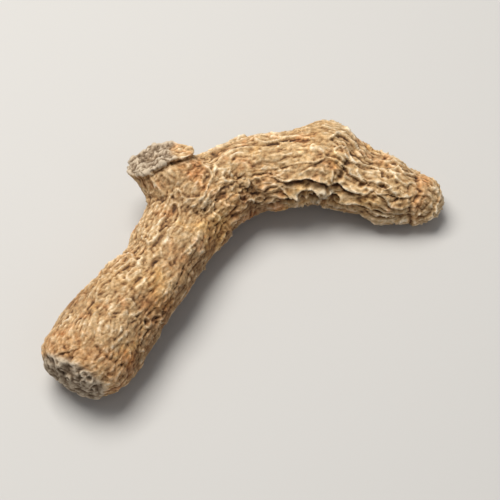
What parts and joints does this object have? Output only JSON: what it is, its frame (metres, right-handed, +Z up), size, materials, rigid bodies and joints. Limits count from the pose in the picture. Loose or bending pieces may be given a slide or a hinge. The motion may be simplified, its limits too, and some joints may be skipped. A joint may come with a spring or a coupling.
{
  "type": "black turmeric rhizome",
  "caption": "Dried, wrinkled rhizome finger bent through about ninety degrees, with a broken side-shoot stump at the bend and a small bud at the far end.",
  "frame": {"origin": "centre of the underside of its bounding box, on the plane it rests on", "axes": "+X along the longest extent, towards the bud end; +Y towards the outside of the bend; +Z up from the resting plane"},
  "size_m": [0.0712, 0.054, 0.0171],
  "materials": {
    "dried_skin": "dry, matt and wrinkled, tan-brown with darker creases"
  },
  "bodies": {
    "root": {"rhizome": "dried_skin"}
  },
  "joints": []
}
